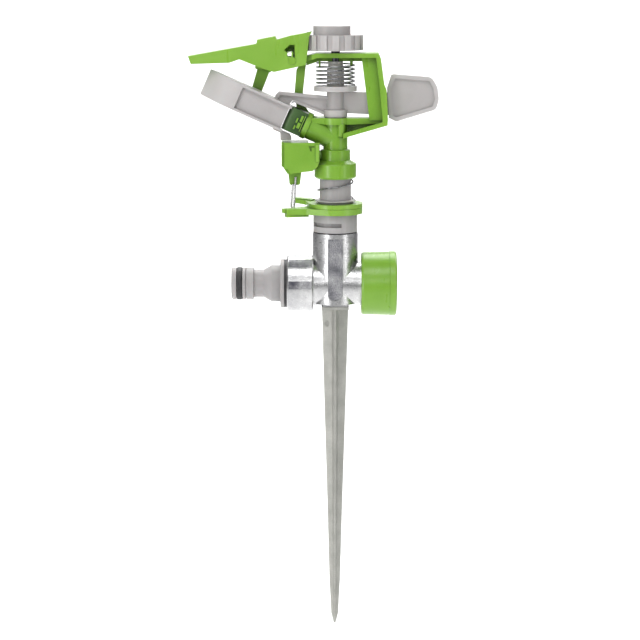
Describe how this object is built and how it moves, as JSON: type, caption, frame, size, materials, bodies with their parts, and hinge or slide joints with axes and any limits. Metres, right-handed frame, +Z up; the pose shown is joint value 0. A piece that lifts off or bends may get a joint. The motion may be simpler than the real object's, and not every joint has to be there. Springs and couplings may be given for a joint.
{
  "type": "impulse sprinkler",
  "caption": "Garden impulse sprinkler on a metal ground spike: rotating head with a sprung swing arm, adjustable stop collars, a trip lever, a diffuser flap with its knob and a hose inlet.",
  "frame": {"origin": "on the upright axis of the head, at the ground line where the blade of the spike meets its top plate", "axes": "+Z up along the head axis, -X along the hose inlet and the rest direction of the nozzle, -Y the side with the recessed panel of the tee"},
  "size_m": [0.1301, 0.0374, 0.3239],
  "materials": {
    "cast_grey": "matt cast zinc, light grey",
    "chromed_casting": "bright plated casting",
    "grey_plastic": "mid grey moulded plastic",
    "light_grey_plastic": "light grey moulded plastic",
    "green_plastic": "yellow green moulded plastic",
    "dark_green_plastic": "dark green moulded plastic",
    "black_rubber": "black rubber",
    "spring_steel": "drawn steel wire",
    "shaft_steel": "dark steel rod"
  },
  "bodies": {
    "base": {"ground_spike": "cast_grey", "tee_body": "chromed_casting", "inlet_connector": "grey_plastic", "inlet_o_ring": "black_rubber", "inlet_washer": "black_rubber", "filter_screen": "grey_plastic", "bearing_nipple": "grey_plastic", "nipple_washer": "black_rubber", "top_washer": "light_grey_plastic", "upper_thrust_washer": "black_rubber"},
    "lower_collar": {"lower_trip_collar": "green_plastic"},
    "upper_collar": {"upper_trip_collar": "green_plastic"},
    "cap_washer": {"outlet_washer": "black_rubber"},
    "cap": {"outlet_cap": "green_plastic"},
    "head": {"bearing_tube": "grey_plastic", "lower_thrust_washer": "light_grey_plastic", "bearing_spring": "spring_steel", "body_frame": "green_plastic", "nozzle_block": "dark_green_plastic", "nozzle_insert": "light_grey_plastic", "nozzle_o_ring": "black_rubber", "stream_straightener": "light_grey_plastic", "arm_shaft": "shaft_steel", "arm_washer": "light_grey_plastic", "trip_pivot_pin": "shaft_steel", "shaft_collar": "light_grey_plastic"},
    "arm": {"swing_arm": "light_grey_plastic", "arm_spring": "spring_steel"},
    "knob": {"range_knob": "light_grey_plastic"},
    "flap": {"diffuser_flap": "green_plastic"},
    "trip": {"trip_lever": "green_plastic", "trip_spring": "spring_steel"},
    "wire": {"trip_wire": "spring_steel"}
  },
  "joints": [
    {"name": "lower_collar_turn", "type": "hinge", "parent": "base", "child": "lower_collar", "pos_m": [0, 0, 0.0523], "axis": [0, 0, 1], "continuous": true},
    {"name": "upper_collar_turn", "type": "hinge", "parent": "base", "child": "upper_collar", "pos_m": [0, 0, 0.0553], "axis": [0, 0, 1], "continuous": true},
    {"name": "cap_travel", "type": "slide", "parent": "base", "child": "cap_washer", "axis": [1, 0, 0], "range_m": [0, 0.0131]},
    {"name": "cap_unscrew", "type": "hinge", "parent": "cap_washer", "child": "cap", "pos_m": [0.02, 0, 0.0131], "axis": [1, 0, 0], "range_deg": [0, 2600]},
    {"name": "head_turn", "type": "hinge", "parent": "base", "child": "head", "pos_m": [0, 0, 0.07], "axis": [0, 0, 1], "continuous": true},
    {"name": "arm_swing", "type": "hinge", "parent": "head", "child": "arm", "pos_m": [0, 0, 0.115], "axis": [0, 0, 1], "range_deg": [0, 110], "stiffness_Nm_per_rad": 0.004, "springref_deg": -28.65, "deforming": ["arm_spring"]},
    {"name": "knob_turn", "type": "hinge", "parent": "head", "child": "knob", "pos_m": [0, 0, 0.14], "axis": [0, 0, -1], "range_deg": [0, 270]},
    {"name": "flap_tilt", "type": "hinge", "parent": "head", "child": "flap", "pos_m": [-0.0224, 0, 0.1306], "axis": [0, -1, 0], "range_deg": [0, 3.9]},
    {"name": "trip_flip", "type": "hinge", "parent": "head", "child": "trip", "pos_m": [-0.018, 0, 0.081], "axis": [1, 0, 0], "range_deg": [0, 12]},
    {"name": "wire_fold", "type": "hinge", "parent": "trip", "child": "wire", "pos_m": [-0.0209, 0, 0.0694], "axis": [0, 1, 0], "range_deg": [0, 90]}
  ],
  "couplings": [
    {"joint": "cap_unscrew", "follows": "cap_travel", "rad_per_m": 3463.7},
    {"joint": "flap_tilt", "follows": "knob_turn", "ratio": 0.014}
  ]
}
